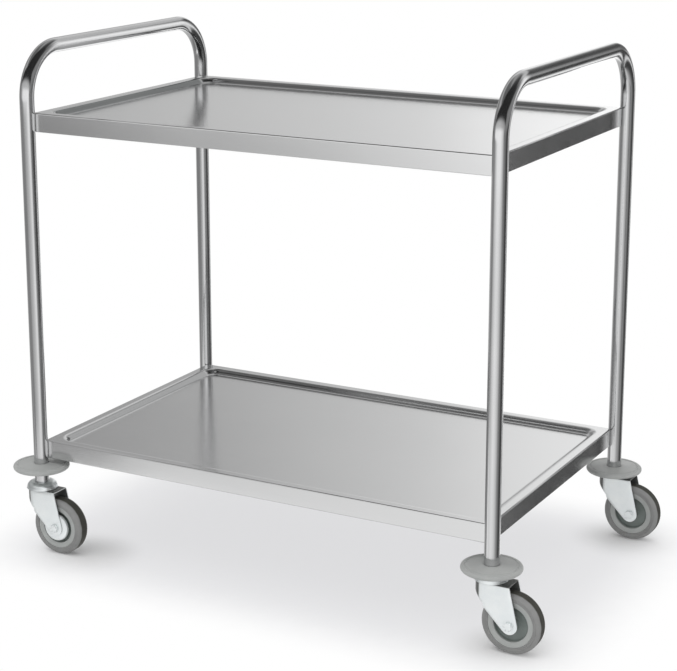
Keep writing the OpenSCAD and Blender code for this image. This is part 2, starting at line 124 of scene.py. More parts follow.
class Finish:  # a material or world being built, node by node
    def __init__(self, owner):
        owner.use_nodes = True
        self.owner = owner
        self.tree = owner.node_tree
        self.tree.nodes.clear()

    def add(self, kind, settings=None, values=None, out=0):
        node = self.tree.nodes.new("ShaderNode" + kind)
        for key, value in (settings or {}).items():
            if key == "stops":
                self.setStops(node.color_ramp, value)
            else:
                setattr(node, key, value)
        for key, value in (values or {}).items():
            if isinstance(value, Wire):
                self.tree.links.new(value.socket, node.inputs[key])
            else:
                node.inputs[key].default_value = value
        return Wire(self, node.outputs[out] if len(node.outputs) else None)

    def setStops(self, ramp, stops):  # grey values along a ramp
        while len(ramp.elements) < len(stops):
            ramp.elements.new(0.5)
        for element, (place, grey) in zip(ramp.elements, stops):
            element.position = place
            element.color = (grey, grey, grey, 1)

    def along(self, axes):  # the object's own coordinates on the axes named
        place = self.add("TexCoord", out="Object")
        return [self.add("SeparateXYZ", {}, {0: place}, axis) for axis in axes]

    def smooth(self, value, low, high, before=0.0, after=1.0):  # a soft step between two values
        settings = {"interpolation_type": "SMOOTHSTEP"}
        return self.add("MapRange", settings, {0: value, 1: low, 2: high, 3: before, 4: after})

    def blend(self, factor, first, second):
        return self.add("Mix", {"data_type": "RGBA"}, {0: factor, 6: first, 7: second}, 2)

    def noise(self, scale, detail, stretch=(1, 1, 1), shift=(0, 0, 0)):
        place = self.add("TexCoord", out="Object")
        place = self.add("Mapping", {}, {0: place, 1: shift, 3: stretch})
        return self.add("TexNoise", {}, {"Vector": place, "Scale": scale, "Detail": detail})

    def bump(self, height, distance, strength, **others):
        values = {"Height": height, "Distance": distance, "Strength": strength}
        return self.add("Bump", {}, {**values, **others})


def newFinish(name):
    return Finish(bpy.data.materials.new(name))


def closeFinish(finish, **sockets):  # ends a material in one Principled shader
    named = {key.replace("_", " "): value for key, value in sockets.items()}
    shader = finish.add("BsdfPrincipled", {}, named)
    finish.add("OutputMaterial", {}, {0: shader})
    return finish.owner


# the shelves' shape, which their finish follows too

shelfShape = {
    "rimWidth": 0.022,
    "panDepth": 0.009,
    "panCorner": 0.020,
    "thickness": 0.001,
    "hem": 0.009,
    "cornerGap": 0.0003,
    "apronBend": 0.0022,
    "wallTop": 0.003,  # the wall slopes down from here to the foot, seen from the pan's outline
    "wallFoot": -0.004,
    "floorReach": 0.012,  # from the wall's foot in to where one flat face fills the pan
    "panBend": 0.012,
    "floorBend": 0.009,
    "footBend": 0.0012,
    "hemBend": 0.0003,
    "bendSteps": 9,
    "bendGuard": 0.0002,  # between a bend and the loops that keep the flats beside it flat
    "cornerSteps": 12,
    "crease": 50,
}


# finishes; a look's roughness is the least one, and noise adds to it

tubeLook = {"light": (0.70, 0.70, 0.705, 1), "dark": (0.60, 0.605, 0.61, 1), "roughness": 0.08}


def polishedTube():
    f = newFinish("polishedTube")
    cloud = f.noise(scale=9, detail=4)
    lines = f.noise(scale=1, detail=3, stretch=(900, 900, 14))
    marks = f.noise(scale=160, detail=2, stretch=(1, 1, 0.25))
    colour = f.blend(cloud, tubeLook["dark"], tubeLook["light"])
    rough = tubeLook["roughness"] + 0.06 * cloud + 0.05 * lines
    bump = f.bump(0.5 * lines + 0.5 * marks, distance=0.00003, strength=0.18)
    return closeFinish(f, Base_Color=colour, Metallic=1.0, Roughness=rough, Normal=bump)


sheetLook = {
    "light": (0.79, 0.79, 0.79, 1),
    "dark": (0.71, 0.715, 0.72, 1),
    "roughness": 0.085,
    "paintedShade": (0.24, 0.25, 0.25, 1),  # painted shade in the fold round the pan, standing in for the dark reflection of its sloping walls
    "paintedShadeShare": 0.85,
    "paintedShadeRight": 0.45,  # what is left of it at the right end
    "paintedShadeRightFrom": -0.15,  # x where it begins to fall
    "paintedShadeLeft": {"upper": 1.15, "lower": 0.45},  # on the wall at the left end
    "paintedShadeBack": 0.12,
    "endFrom": (0.048, 0.034),  # from the shelf's left and back edges: where those two begin, and are full
    "foldWidth": (0.016, 0.011),  # each way from the pan's outline: where the fold ends, and is full
    "foldTop": (0.0001, 0.0012),  # depths where it begins, and is full
    "foldFoot": 0.0004,  # height over which it ends above the pan's floor
}


def paintedPanShade(f, left):  # painted shade: one on the sloping wall round a shelf's pan, zero elsewhere
    look = sheetLook
    half = size("upper_shelf") / 2
    rim, deep = shelfShape["rimWidth"], shelfShape["panDepth"]
    x, y, z = f.along("XYZ")
    inward = (half.x - rim - abs(x)).least(half.y - rim - abs(y))
    begin, full = look["endFrom"]
    shadeStrength = f.smooth(x, look["paintedShadeRightFrom"], half.x, 1.0, look["paintedShadeRight"])
    shadeStrength = shadeStrength * f.smooth(x, begin - half.x, full - half.x, 1.0, left)
    shadeStrength = shadeStrength * f.smooth(y, half.y - begin, half.y - full, 1.0, look["paintedShadeBack"])
    high, low = look["foldTop"]
    fold = f.smooth(abs(inward), *look["foldWidth"]) * f.smooth(z, -high, -low)
    return fold * shadeStrength * f.smooth(z, -deep, look["foldFoot"] - deep)


def brushedSheet(name, left):
    f = newFinish(name)
    cloud = f.noise(scale=5, detail=4)
    streaks = f.noise(scale=1, detail=4, stretch=(9, 1400, 1400))
    fine = f.noise(scale=1, detail=2, stretch=(40, 5200, 5200), shift=(0.3, 0.1, 0.2))
    wave = f.noise(scale=3.2, detail=1)
    colour = f.blend(0.35 * cloud + 0.65 * streaks, sheetLook["dark"], sheetLook["light"])
    # painted shade darkens the base colour on the pan's walls
    colour = f.blend(paintedPanShade(f, left) * sheetLook["paintedShadeShare"], colour, sheetLook["paintedShade"])
    rough = sheetLook["roughness"] + 0.06 * cloud + 0.06 * streaks
    bump = f.bump(0.6 * streaks + 0.4 * fine, distance=0.0001, strength=0.4)
    bump = f.bump(wave, distance=0.002, strength=0.2, Normal=bump)
    return closeFinish(f, Base_Color=colour, Metallic=1.0, Roughness=rough, Normal=bump)


zincLook = {
    "light": (0.90, 0.93, 0.93, 1),
    "dark": (0.83, 0.87, 0.88, 1),
    "roughness": 0.25,
    "metallic": 0.5,
    "cupMetallic": 0.9,
    "inside": (0.10, 0.10, 0.095, 1),  # painted shade between a fork's legs and on its crown
    "insideShadeShare": 0.9,
    "insideFrom": (0.0010, 0.0022),  # depths below the fork's outside where it begins, and is full
    "crownShadeShare": 0.92,
    "crown": {  # painted shade on the top round the cup: where it begins, and is full
        "left": {"radius": (0.050, 0.037), "depth": (0.0008, 0.0002)},
        "right": {"radius": (0.080, 0.060), "depth": (0.0026, 0.0012)},
    },
}


def paintedForkShade(f, side):  # how much painted shade a fork gets between its legs and round the cup
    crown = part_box("fork_front_left")[1].z
    half = size("fork_front_left").y / 2
    x, y, z = f.along("XYZ")
    begin, full = zincLook["insideFrom"]
    within = f.smooth(half - abs(y), begin, full) * f.smooth(crown - z, begin, full)
    top = zincLook["crown"][side]
    around = f.smooth((x * x + y * y).root(), *top["radius"]) * f.smooth(crown - z, *top["depth"])
    return (within * zincLook["insideShadeShare"]).most(around * zincLook["crownShadeShare"])


def brightZinc(name, metallic=zincLook["metallic"], side=None):
    f = newFinish(name)
    cloud = f.noise(scale=45, detail=4)
    grain = f.noise(scale=420, detail=3)
    colour = f.blend(f.smooth(0.75 * cloud + 0.25 * grain, 0.3, 0.7), zincLook["dark"], zincLook["light"])
    if side:
        # painted shade inside the fork and on its crown, standing in for the shadow under the bumper
        colour = f.blend(paintedForkShade(f, side), colour, zincLook["inside"])
    rough = zincLook["roughness"] + 0.1 * cloud
    bump = f.bump(0.5 * cloud + 0.5 * grain, distance=0.0001, strength=0.25)
    return closeFinish(f, Base_Color=colour, Metallic=metallic, Roughness=rough, Normal=bump)


plasticLook = {
    "greyBumper": {"light": (0.43, 0.44, 0.43, 1), "dark": (0.38, 0.39, 0.385, 1), "roughness": 0.37},
    "whiteNylon": {"light": (0.78, 0.78, 0.75, 1), "dark": (0.68, 0.68, 0.64, 1), "roughness": 0.35},
}


def mouldedPlastic(name):
    look = plasticLook[name]
    f = newFinish(name)
    cloud = f.noise(scale=26, detail=4)
    grain = f.noise(scale=520, detail=3)
    colour = f.blend(f.smooth(0.65 * cloud + 0.35 * grain, 0.3, 0.7), look["dark"], look["light"])
    rough = look["roughness"] + 0.1 * grain
    bump = f.bump(grain, distance=0.0001, strength=0.35)
    return closeFinish(f, Base_Color=colour, Metallic=0.0, Roughness=rough, Normal=bump, IOR=1.46)


tyreLook = {
    "side": (0.300, 0.302, 0.300, 1),
    "sideDark": (0.235, 0.236, 0.232, 1),
    "tread": (0.070, 0.068, 0.056, 1),
    "treadDark": (0.040, 0.039, 0.032, 1),
    "treadHalf": 0.0072,  # half the width that the floor has soiled
    "treadEdge": 0.0026,
    "treadWaver": 0.0022,
    "roughness": 0.55,
}


def greyTyre():
    look = tyreLook
    f = newFinish("greyTyre")
    across = abs(f.along("Z")[0])
    cloud = f.noise(scale=90, detail=5)
    speck = f.noise(scale=700, detail=2)
    side = f.blend(cloud, look["sideDark"], look["side"])
    tread = f.blend(cloud, look["treadDark"], look["tread"])
    edge = across + look["treadWaver"] * cloud
    colour = f.blend(f.smooth(edge, look["treadHalf"] + look["treadEdge"], look["treadHalf"]), side, tread)
    rough = look["roughness"] + 0.2 * speck
    bump = f.bump(0.5 * cloud + 0.5 * speck, distance=0.0002, strength=0.3)
    return closeFinish(f, Base_Color=colour, Metallic=0.0, Roughness=rough, Normal=bump)


hubLook = {
    "rim": (0.435, 0.45, 0.44, 1),
    "rimDark": (0.375, 0.39, 0.38, 1),
    # the web is painted darker than the rim, standing in for the shade in the hub's recess
    "web": (0.235, 0.265, 0.252, 1),
    "webDark": (0.145, 0.172, 0.162, 1),
    "rimFrom": 0.0285,  # radius where the pale rim begins
    "rimEdge": 0.0006,
    "rimWaver": 0.0004,
    "roughness": 0.40,
}


def hubPlastic():
    look = hubLook
    f = newFinish("hubPlastic")
    x, y = f.along("XY")
    cloud = f.noise(scale=60, detail=4)
    grain = f.noise(scale=500, detail=3)
    rim = f.blend(cloud, look["rimDark"], look["rim"])
    web = f.blend(cloud, look["webDark"], look["web"])
    edge = (x * x + y * y).root() + look["rimWaver"] * cloud
    # painted shade: the web inside the pale rim is darker, as the recess is in shade
    colour = f.blend(f.smooth(edge, look["rimFrom"], look["rimFrom"] + look["rimEdge"]), web, rim)
    rough = look["roughness"] + 0.1 * grain
    bump = f.bump(grain, distance=0.0001, strength=0.35)
    return closeFinish(f, Base_Color=colour, Metallic=0.0, Roughness=rough, Normal=bump)


ballLook = {"light": (0.78, 0.78, 0.78, 1), "dark": (0.66, 0.66, 0.66, 1), "roughness": 0.08}


def bearingSteel():
    f = newFinish("bearingSteel")
    cloud = f.noise(scale=300, detail=3)
    colour = f.blend(cloud, ballLook["dark"], ballLook["light"])
    rough = ballLook["roughness"] + 0.08 * cloud
    return closeFinish(f, Base_Color=colour, Metallic=1.0, Roughness=rough)


finishes = {
    "stainless_tube": polishedTube(),
    "stainless_sheet": brushedSheet("brushedSheet", sheetLook["paintedShadeLeft"]["upper"]),
    "zinc_plated_steel": brightZinc("brightZinc"),
    "bearing_steel": bearingSteel(),
    "grey_bumper_plastic": mouldedPlastic("greyBumper"),
    "dark_hub_plastic": hubPlastic(),
    "white_nylon": mouldedPlastic("whiteNylon"),
    "grey_tyre_rubber": greyTyre(),
}
# the lower shelf's sheet, with less painted shade on its left wall
lowerSheet = brushedSheet("lowerSheet", sheetLook["paintedShadeLeft"]["lower"])
# fork finishes with painted shade, with more of it on the right-hand forks
forkZincShaded = {side: brightZinc("forkZinc_" + side, side=side) for side in zincLook["crown"]}
cupZinc = brightZinc("cupZinc", zincLook["cupMetallic"])
print("finishes made")


# mesh tools

def arc(centre, radius, first, last, steps):  # points round a centre, from one angle to another
    turns = [first + (last - first) * step / steps for step in range(steps + 1)]
    return [(centre[0] + radius * math.cos(turn), centre[1] + radius * math.sin(turn)) for turn in turns]


def circle(centre, radius, steps):
    return arc(centre, radius, 0, 2 * math.pi, steps)[:-1]


def softened(points, steps, guard=0.0):  # a path of (x, y, bend radius) with arcs in its bends
    made = [points[0][:2]]
    for before, point, after in zip(points, points[1:], points[2:]):
        here = Vector(point[:2])
        radius = point[2]
        if not radius:
            made.append(tuple(here))
            continue
        came = (here - Vector(before[:2])).normalized()
        goes = (Vector(after[:2]) - here).normalized()
        turn = math.atan2(came.x * goes.y - came.y * goes.x, came.dot(goes))
        reach = radius * math.tan(abs(turn) / 2)
        start = here - came * reach
        inward = Vector((-came.y, came.x)) * (1 if turn > 0 else -1)
        centre = start + inward * radius
        if guard:
            made.append(tuple(start - came * guard))
        for step in range(steps + 1):
            spoke = -inward * radius
            spoke.rotate(Matrix.Rotation(turn * step / steps, 2))
            made.append(tuple(centre + spoke))
        if guard:
            made.append(tuple(here + goes * (reach + guard)))
    made.append(points[-1][:2])
    return made


def skin(bm, loops, around=True):  # quads between successive loops of vertices
    for first, second in zip(loops, loops[1:]):
        count = len(first)
        for i in range(count if around else count - 1):
            j = (i + 1) % count
            face = [first[i], first[j], second[j], second[i]]
            face = [v for n, v in enumerate(face) if v not in face[:n]]
            if len(face) > 2 and bm.faces.get(face) is None:
                bm.faces.new(face)


def revolve(bm, profile, count, closed=True, shift=(0, 0, 0)):  # a profile of (radius, height)
    loops = []
    for radius, height in profile:
        z = shift[2] + height
        if radius:
            loops.append([bm.verts.new((x, y, z)) for x, y in circle(shift, radius, count)])
        else:
            loops.append([bm.verts.new((shift[0], shift[1], z))] * count)
    skin(bm, loops + loops[:1] if closed else loops)


def crease(mesh, angle):  # smooth faces, with edges sharper than the angle kept sharp
    bm = bmesh.new()
    bm.from_mesh(mesh)
    for face in bm.faces:
        face.smooth = True
    for edge in bm.edges:
        edge.smooth = not (len(edge.link_faces) == 2 and edge.calc_face_angle(0) > math.radians(angle))
    bm.to_mesh(mesh)
    bm.free()


def meshOf(bm, name):
    mesh = bpy.data.meshes.new(name)
    bm.to_mesh(mesh)
    bm.free()
    return mesh


def inScene(name, data):
    made = bpy.data.objects.new(name, data)
    bpy.context.scene.collection.objects.link(made)
    return made


def piece(bm, name, slot, angle, finish=None, turnFaces=True):
    if turnFaces:
        bmesh.ops.recalc_face_normals(bm, faces=bm.faces)
    mesh = meshOf(bm, name)
    crease(mesh, angle)
    made = inScene(name, mesh)
    made.data.materials.append(finish or finishes[slot])
    return made


def settle(made, angle):  # the modifiers become the mesh
    bpy.context.view_layer.update()
    graph = bpy.context.evaluated_depsgraph_get()
    mesh = bpy.data.meshes.new_from_object(made.evaluated_get(graph))
    made.modifiers.clear()
    made.data = mesh
    crease(mesh, angle)


# camera

photoCamera = {
    "size": (677, 671),
    "place": (1.48767, -2.76264, 1.26293),
    "turn": 28.3692,  # degrees round the trolley from its front
    "down": 14.0122,  # degrees below the horizon
    "focus": 1877.37,  # in pixels of the photograph
    "middle": (338.5, 281.34),
    "sensor": 36,
    "clip": (0.05, 60),
}


def makeCamera():
    look = photoCamera
    wide, tall = look["size"]
    data = bpy.data.cameras.new("photoCamera")
    data.sensor_width = look["sensor"]
    data.lens = look["focus"] / wide * look["sensor"]
    data.shift_y = (look["middle"][1] - tall / 2) / wide
    data.clip_start, data.clip_end = look["clip"]
    camera = inScene("photoCamera", data)
    turn = math.radians(look["turn"])
    down = math.radians(look["down"])
    ahead = Vector((-math.sin(turn) * math.cos(down), math.cos(turn) * math.cos(down), -math.sin(down)))
    camera.location = look["place"]
    camera.rotation_euler = ahead.to_track_quat("-Z", "Y").to_euler()
    bpy.context.scene.camera = camera


makeCamera()
print("camera placed")


# shelves

def shelfProfile():  # from the pan's floor over the rim and apron, and back under it; (out, up)
    shape = shelfShape
    rim, deep, thick = shape["rimWidth"], shape["panDepth"], shape["thickness"]
    top, wallFoot = shape["wallTop"], shape["wallFoot"]
    foot = -size("upper_shelf").z
    hem, soft = rim - shape["hem"], shape["hemBend"]
    inner = wallFoot - shape["floorReach"]
    mitre = thick * math.tan(math.atan2(deep, top - wallFoot) / 2)
    outside = [
        (inner, -deep, 0),
        (wallFoot, -deep, shape["floorBend"]),
        (top, 0, shape["panBend"]),
        (rim, 0, shape["apronBend"]),
        (rim, foot, shape["footBend"]),
    ]
    underside = [
        (hem, foot, soft),
        (hem, foot + thick, soft),
        (rim - thick, foot + thick, soft),
        (rim - thick, -thick, shape["apronBend"] - thick),
        (top + mitre, -thick, shape["panBend"] - thick),
        (wallFoot + mitre, -deep - thick, shape["floorBend"] + thick),
        (inner, -deep - thick, 0),
    ]
    return softened(outside + underside, shape["bendSteps"], shape["bendGuard"])


def panOutline(offset, halfX, halfY):  # corner arcs of the pan, anticlockwise
    radius = shelfShape["panCorner"] + offset
    outline = []
    for place, (sx, sy) in enumerate(quadrants):
        centre = (sx * (halfX + offset - radius), sy * (halfY + offset - radius))
        outline += arc(centre, radius, place * quarter, (place + 1) * quarter, shelfShape["cornerSteps"])
    return outline


def apronOutline(inset, halfX, halfY, spanX):  # the edge with its corners cut round the legs
    radius = tubeRadius + shelfShape["cornerGap"] + inset
    edgeX, edgeY = halfX - inset, halfY - inset
    alongX = math.sqrt(radius ** 2 - (legY - edgeY) ** 2)
    alongY = math.sqrt(radius ** 2 - (spanX - edgeX) ** 2)
    first = math.atan2(-alongY, edgeX - spanX)
    last = math.atan2(edgeY - legY, -alongX)
    if last > first:
        last -= 2 * math.pi
    corner = arc((spanX, legY), radius, first, last, shelfShape["cornerSteps"])
    outline = []
    for sx, sy in quadrants:
        part = [(sx * x, sy * y) for x, y in corner]
        outline += part if sx * sy > 0 else part[::-1]
    return outline


def makeShelf(node, name, finish):
    halfX, halfY = size(node).x / 2, size(node).y / 2
    spanX = (legX[1] - legX[-1]) / 2
    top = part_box(node)[1].z
    rim = shelfShape["rimWidth"]
    bm = bmesh.new()
    loops = []
    for out, up in shelfProfile():
        if out < rim / 2:
            outline = panOutline(out, halfX - rim, halfY - rim)
        else:
            outline = apronOutline(rim - out, halfX, halfY, spanX)
        loops.append([bm.verts.new((x, y, up)) for x, y in outline])
    skin(bm, loops)
    bm.faces.new(loops[0])
    bm.faces.new(loops[-1][::-1])
    made = piece(bm, name, "stainless_sheet", shelfShape["crease"], finish)
    made.location = (shelfMiddleX, 0, top)
    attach(made, "trolley")
    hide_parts(node)


makeShelf("upper_shelf", "upperShelfSheet", finishes["stainless_sheet"])
makeShelf("lower_shelf", "lowerShelfSheet", lowerSheet)
print("shelves made")


# end frames

frameShape = {
    "bend": 0.083,
    "wall": 0.0012,
    "bendSteps": 32,
    "roundSteps": 56,
    "footRing": 0.03,
    "guard": 0.004,  # from a bend to the next ring on the straight tube
    "crease": 40,
}


def framePath():  # (y, z, angle) from the front leg's foot over the bar to the back leg's foot
    low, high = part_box("left_end_frame")
    bend, steps, guard = frameShape["bend"], frameShape["bendSteps"], frameShape["guard"]
    barZ = high.z - tubeRadius
    centreY, centreZ = bend - legY, barZ - bend
    path = [(-legY, z, quarter) for z in (low.z, low.z + frameShape["footRing"], centreZ - guard)]
    for step, (y, z) in enumerate(arc((centreY, centreZ), bend, math.pi, quarter, steps)):
        path.append((y, z, quarter * (1 - step / steps)))
    path.append((centreY + guard, barZ, 0))
    other = [(-y, z, -angle) for y, z, angle in path]
    return path + other[::-1]


def makeEndFrame(node, name, side):
    bm = bmesh.new()

    def tube(radius):
        rings = []
        for y, z, angle in framePath():
            across = Vector((0, -math.sin(angle), math.cos(angle)))
            ring = circle((0, 0), radius, frameShape["roundSteps"])
            rings.append([bm.verts.new(Vector((out, y, z)) + across * up) for up, out in ring])
        return rings

    outer = tube(tubeRadius)
    inner = tube(tubeRadius - frameShape["wall"])
    skin(bm, outer)
    skin(bm, inner)
    for end in (0, -1):
        skin(bm, [outer[end], inner[end]])
    made = piece(bm, name, "stainless_tube", frameShape["crease"])
    made.location = (legX[side], 0, 0)
    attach(made, "trolley")
    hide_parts(node)


makeEndFrame("left_end_frame", "leftEndTube", -1)
makeEndFrame("right_end_frame", "rightEndTube", 1)
print("end frames made")


# bumper discs

bumperShape = {
    "boreGap": 0.0002,
    "boreBend": 0.0006,
    "above": 0.006,  # height of the collar over the middle of the rim
    "collar": 0.004,
    "collarBend": 0.002,
    "slopeEnd": (0.010, 0.0051, 0.004),  # out from the bore, height, bend
    "groove": [(0.0052, 0.0041, 0.0007), (0.0038, 0.0033, 0.0005), (0.0030, 0.0035, 0)],  # in from the rim
    "bendSteps": 4,
    "bead": 130,  # where the rim's round bead leaves the groove, in degrees
    "beadSteps": 22,
    "hollow": 0.0295,
    "hollowEdge": 0.0008,
    "roof": 0.004,
    "around": 96,
    "crease": 45,
}


def bumperProfile(node):
    shape = bumperShape
    above = shape["above"]
    below = size(node).z - above
    bore = tubeRadius + shape["boreGap"]
    rim = size(node).x / 2 - below
    roof = above - shape["roof"]
    out, height, bend = shape["slopeEnd"]
    face = [(bore, roof, 0), (bore, above, shape["boreBend"])]
    face += [(bore + shape["collar"], above, shape["collarBend"]), (bore + out, height, bend)]
    face += [(rim - back, height, bend) for back, height, bend in shape["groove"]]
    profile = softened(face, shape["bendSteps"])
    profile += arc((rim, 0), below, math.radians(shape["bead"]), -quarter, shape["beadSteps"])
    hollow, soft = shape["hollow"], shape["hollowEdge"]
    return profile + [(hollow + soft, -below), (hollow, soft - below), (hollow, roof)]


for corner, (sx, sy) in corners.items():
    node = "bumper_" + corner
    bm = bmesh.new()
    revolve(bm, bumperProfile(node), bumperShape["around"])
    made = piece(bm, "bumperDisc_" + corner, "grey_bumper_plastic", bumperShape["crease"])
    made.location = (legX[sx], sy * legY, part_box(node)[1].z - bumperShape["above"])
    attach(made, "trolley")
    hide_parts(node)
print("bumpers made")


# castor heads

headShape = {
    "round": 0.010,
    "roundSteps": 14,
    "wall": 0.0025,
    "floor": 0.0025,  # thickness under the leg
    "bore": 0.0052,
    "legGap": 0.0002,
    "collarEdge": 0.0004,
    "ceilingEdge": 0.001,
    "hem": 0.0005,
    "hemHeights": (0.0016, 0.0011, 0.0003),
    "around": 72,
    "crease": 45,
}


def headProfile(tall, radius, seat):  # the domed cup over the balls, foot at zero
    shape = headShape
    dome, skirt = shape["round"], radius - shape["hem"]
    collar, soft = tubeRadius + shape["legGap"], shape["collarEdge"]
    profile = [(shape["bore"], seat), (collar, seat), (collar, tall - soft), (collar + soft, tall)]
    profile += arc((skirt - dome, tall - dome), dome, quarter, 0, shape["roundSteps"])
    above, below, edge = shape["hemHeights"]
    profile += [(skirt, above), (radius, below), (radius, edge), (radius - edge, 0)]
    inside, ceiling, soft = radius - shape["wall"], seat - shape["floor"], shape["ceilingEdge"]
    profile += [(inside, 0), (inside, ceiling - soft), (inside - soft, ceiling), (shape["bore"], ceiling)]
    return profile


def makeHeads():
    low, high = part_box("swivel_cups")
    radius = legX[-1] - low.x
    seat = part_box("expander_sleeves")[0].z - low.z
    profile = headProfile(high.z - low.z, radius, seat)
    bm = bmesh.new()
    for sx, sy in corners.values():
        revolve(bm, profile, headShape["around"], shift=(legX[sx], sy * legY, low.z))
    made = piece(bm, "swivelHeadCups", "zinc_plated_steel", headShape["crease"], cupZinc)
    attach(made, "trolley")
    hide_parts("swivel_cups")


makeHeads()
print("castor heads made")


# forks

forkShape = {
    "front": 0.006,
    "rear": 0.037,
    "kneeDrop": 0.0395,
    "kneeRound": 0.010,
    "kneeSteps": 8,
    "tip": 0.014,
    "tipSteps": {"front": 24, "rear": 32},
    "noseDrop": 0.0345,
    "noseLip": 0.0145,
    "bend": 0.0038,
    "bendSteps": 5,
    "thickness": 0.0025,
    "hole": 0.0081,
    "legColumns": 7,
    "noseColumns": 18,
    "rearSteps": 10,
    "wallRows": 8,
    "legRows": [  # heights as shares of a leg, closer together towards its round tip
        0.96, 0.9, 0.84, 0.76, 0.68, 0.6, 0.5, 0.4, 0.32, 0.25, 0.19, 0.13, 0.08, 0.045, 0.02, 0.006, 0.0008],
    "edge": 0.0004,
    "edgeAngle": 50,
    "crease": 40,
}


def touch(start, centre, radius, side):  # angle at which the line from a point touches a circle
    away = Vector(start) - Vector(centre)
    return math.atan2(away.y, away.x) + side * math.acos(radius / away.length)


def acrossAt(edge, height):  # x where a falling edge line passes a height
    for (x1, z1), (x2, z2) in zip(edge, edge[1:]):
        if z1 >= height >= z2 and z1 > z2:
            return x1 + (x2 - x1) * (z1 - height) / (z1 - z2)
    return edge[-1][0]


def forkEdges(crown):  # a leg's front and rear edge from the side, each down to under the axle
    shape = forkShape
    axle, under = (trail, wheelRadius), -quarter
    knee = (-shape["front"], crown - shape["kneeDrop"])
    first = touch(knee, axle, shape["tip"], 1)
    if first > 0:
        first -= 2 * math.pi
    tip = arc(axle, shape["tip"], first, under, shape["tipSteps"]["front"])
    path = [(-shape["front"], crown, 0), (*knee, shape["kneeRound"]), (*tip[0], 0)]
    front = softened(path, shape["kneeSteps"]) + tip[1:]
    first = touch((shape["rear"], crown), axle, shape["tip"], -1)
    rear = [(shape["rear"], crown)] + arc(axle, shape["tip"], first, under, shape["tipSteps"]["rear"])
    return front, rear


def forkSheet(node):  # the outside of the bent sheet: bend, walls, legs and crown
    shape = forkShape
    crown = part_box(node)[1].z
    half = size(node).y / 2
    front, rear = forkEdges(crown)
    bend, columns, nose = shape["bend"], shape["legColumns"], shape["noseColumns"]
    wallTop = crown - bend
    noseZ = crown - shape["noseDrop"]
    lipZ = crown - shape["noseLip"]
    last = 2 * columns + nose

    def spot(index, inset, height):  # index runs from the rear right, round the nose, to the rear left
        reach = half - inset
        angle = math.pi * (index - columns) / nose
        if 0 < angle < math.pi:
            return (-shape["front"] - reach * math.sin(angle), -reach * math.cos(angle), height)
        share = min(index, last - index) / columns
        x = acrossAt(rear, height) * (1 - share) + acrossAt(front, height) * share
        return (x, -reach if angle <= 0 else reach, height)

    def wallFoot(index):  # the wall is lower at the legs than over the nose
        angle = math.pi * (index - columns) / nose
        return noseZ + (lipZ - noseZ) * math.sin(angle) if 0 < angle < math.pi else noseZ

    rows = []
    for step in range(shape["bendSteps"] + 1):
        angle = quarter * step / shape["bendSteps"]
        inset, height = bend * (1 - math.sin(angle)), wallTop + bend * math.cos(angle)
        rows.append([spot(i, inset, height) for i in range(last + 1)])
    for step in range(1, shape["wallRows"] + 1):
        share = step / shape["wallRows"]
        rows.append([spot(i, 0, wallTop + (wallFoot(i) - wallTop) * share) for i in range(last + 1)])
    bm = bmesh.new()
    loops = [[bm.verts.new(place) for place in row] for row in rows]
    skin(bm, loops, False)

    foot = wheelRadius - shape["tip"]
    for start, end in ((0, columns), (columns + nose, last)):
        leg = [loops[-1][start:end + 1]]
        for share in shape["legRows"]:
            height = foot + (noseZ - foot) * share
            leg.append([bm.verts.new(spot(i, 0, height)) for i in range(start, end + 1)])
        skin(bm, leg, False)

    around = loops[0]
    for step in range(1, shape["rearSteps"]):
        y = (half - bend) * (1 - 2 * step / shape["rearSteps"])
        around.append(bm.verts.new((shape["rear"], y, crown)))
    hole = []
    for v in around:
        angle = math.atan2(v.co.y, v.co.x)
        hole.append(bm.verts.new((shape["hole"] * math.cos(angle), shape["hole"] * math.sin(angle), crown)))
    skin(bm, [around, hole])
    bmesh.ops.recalc_face_normals(bm, faces=bm.faces)
    crownFace = next(face for face in bm.faces if abs(face.normal.z) > 0.99)
    if crownFace.normal.z < 0:
        bmesh.ops.reverse_faces(bm, faces=bm.faces)
    return bm


def makeFork(corner):
    shape = forkShape
    node = "fork_" + corner
    finish = forkZincShaded[corner.split("_")[1]]
    made = piece(forkSheet(node), "castorFork_" + corner, "zinc_plated_steel", shape["crease"], finish, False)
    sheet = made.modifiers.new("sheet", "SOLIDIFY")
    sheet.thickness = shape["thickness"]
    sheet.offset = -1
    sheet.use_even_offset = True
    edge = made.modifiers.new("edge", "BEVEL")
    edge.width = shape["edge"]
    edge.segments = 2
    edge.limit_method = "ANGLE"
    edge.angle_limit = math.radians(shape["edgeAngle"])
    settle(made, shape["crease"])
    sx, sy = corners[corner]
    made.location = (legX[sx], sy * legY, 0)
    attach(made, "swivel_" + corner)
    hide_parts(node)


for corner in corners:
    makeFork(corner)
print("forks made")


# wheels

tyreShape = {
    "depth": 0.012,
    "edge": 0.0006,
    "grooves": (0.0405, 0.0432),
    "grooveHalf": 0.0007,
    "grooveFloor": 0.4,  # its half floor and its depth are shares of its half width
    "grooveDepth": 0.7,
    "grooveClear": 0.0009,  # from the outer groove to where the shoulder's arc begins
    "shoulder": 0.008,
    "shoulderSteps": 12,
    "around": 128,
    "crease": 40,
}


